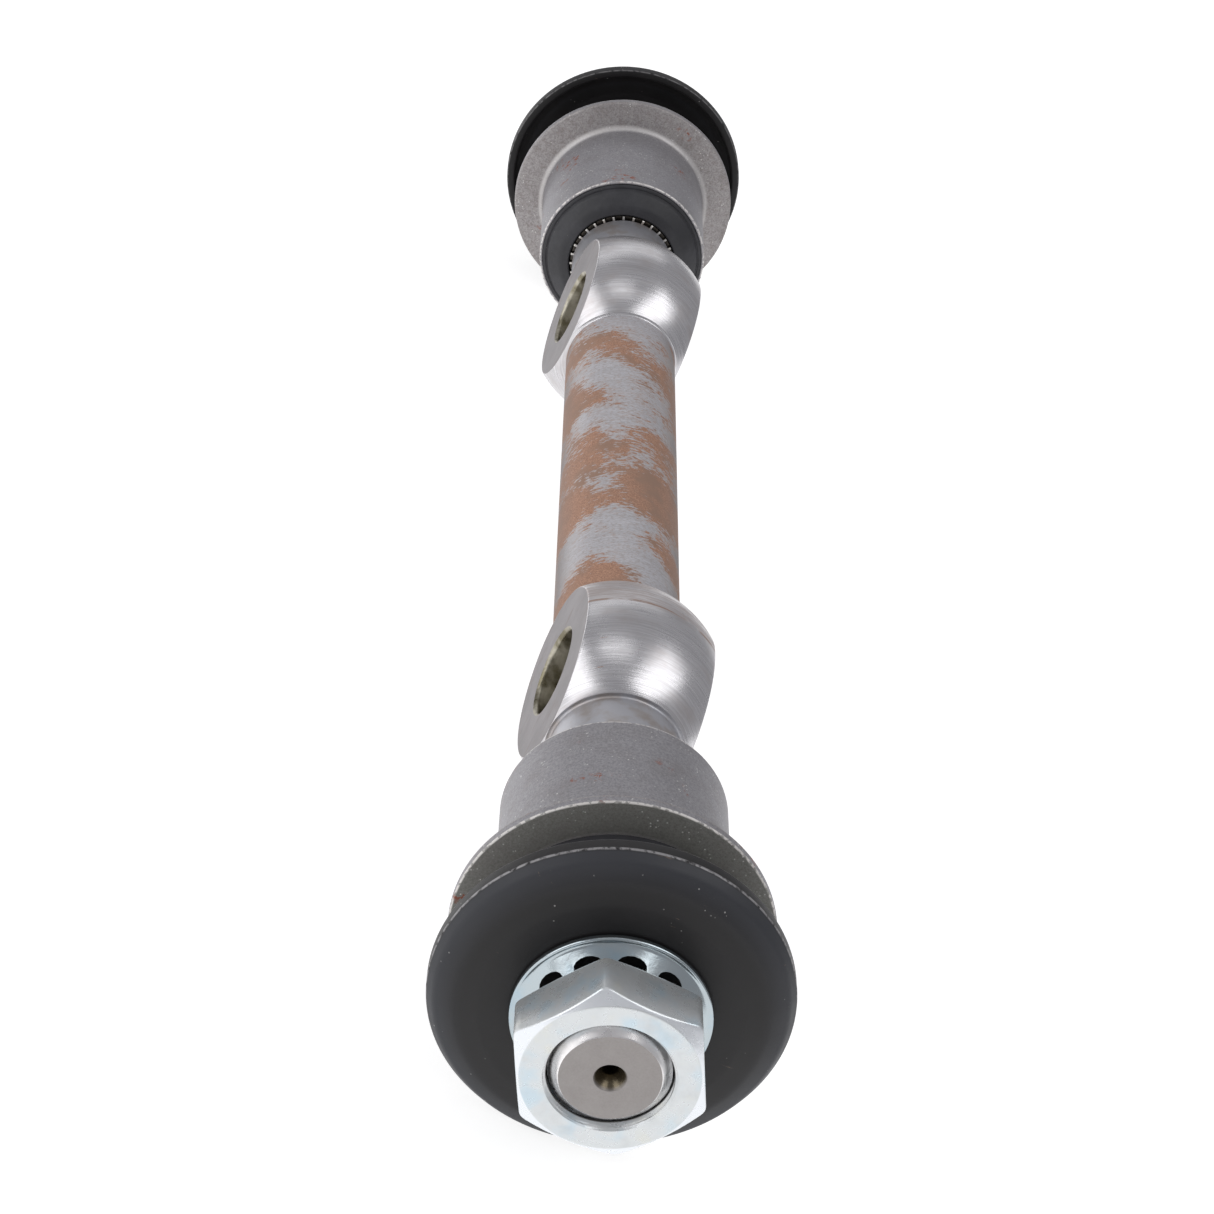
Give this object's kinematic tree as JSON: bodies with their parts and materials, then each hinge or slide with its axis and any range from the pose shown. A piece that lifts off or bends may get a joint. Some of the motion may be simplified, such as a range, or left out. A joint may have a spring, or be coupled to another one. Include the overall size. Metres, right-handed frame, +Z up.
{
  "type": "control arm pivot shaft",
  "caption": "Suspension pivot shaft: a turned steel bar with drilled bosses, and at each end a flanged rubber bushing clamped by a dished washer, a lock washer and a hex nut.",
  "frame": {"origin": "middle of the shaft, on its axis", "axes": "+Y along the shaft from the front nut to the rear nut, +X and -X out of the bolt-hole flats, +Z up"},
  "size_m": [0.057, 0.3596, 0.057],
  "materials": {
    "bare_steel": "turned bare steel with light surface rust",
    "sleeve_steel": "matte bare steel, finely speckled",
    "rubber": "satin black rubber",
    "inner_sleeve_steel": "oiled steel",
    "black_coating": "satin black coating, worn at the rim",
    "zinc_plate": "bright zinc plate"
  },
  "bodies": {
    "shaft_core": {"shaft": "bare_steel", "front_inner_sleeve": "inner_sleeve_steel", "rear_inner_sleeve": "inner_sleeve_steel", "front_cup_washer": "black_coating", "rear_cup_washer": "black_coating"},
    "front_bushing": {"front_outer_sleeve": "sleeve_steel", "front_rubber_bushing": "rubber"},
    "rear_bushing": {"rear_outer_sleeve": "sleeve_steel", "rear_rubber_bushing": "rubber"},
    "front_nut_carriage": {"front_lock_washer": "zinc_plate"},
    "front_nut": {"front_hex_nut": "zinc_plate"},
    "rear_nut_carriage": {"rear_lock_washer": "zinc_plate"},
    "rear_nut": {"rear_hex_nut": "zinc_plate"}
  },
  "joints": [
    {"name": "front_bushing_twist", "type": "hinge", "parent": "shaft_core", "child": "front_bushing", "pos_m": [0, -0.129, 0], "axis": [0, 1, 0], "range_deg": [-30, 30], "stiffness_Nm_per_rad": 40},
    {"name": "rear_bushing_twist", "type": "hinge", "parent": "shaft_core", "child": "rear_bushing", "pos_m": [0, 0.129, 0], "axis": [0, 1, 0], "range_deg": [-30, 30], "stiffness_Nm_per_rad": 40},
    {"name": "front_nut_travel", "type": "slide", "parent": "shaft_core", "child": "front_nut_carriage", "axis": [0, -1, 0], "range_m": [0, 0.00794]},
    {"name": "front_nut_spin", "type": "hinge", "parent": "front_nut_carriage", "child": "front_nut", "pos_m": [0, -0.1751, 0], "axis": [0, -1, 0], "range_deg": [0, 1800]},
    {"name": "rear_nut_travel", "type": "slide", "parent": "shaft_core", "child": "rear_nut_carriage", "axis": [0, 1, 0], "range_m": [0, 0.00794]},
    {"name": "rear_nut_spin", "type": "hinge", "parent": "rear_nut_carriage", "child": "rear_nut", "pos_m": [0, 0.1751, 0], "axis": [0, 1, 0], "range_deg": [0, 1800]}
  ],
  "couplings": [
    {"joint": "front_nut_spin", "follows": "front_nut_travel", "rad_per_m": 3957.9},
    {"joint": "rear_nut_spin", "follows": "rear_nut_travel", "rad_per_m": 3957.9}
  ]
}
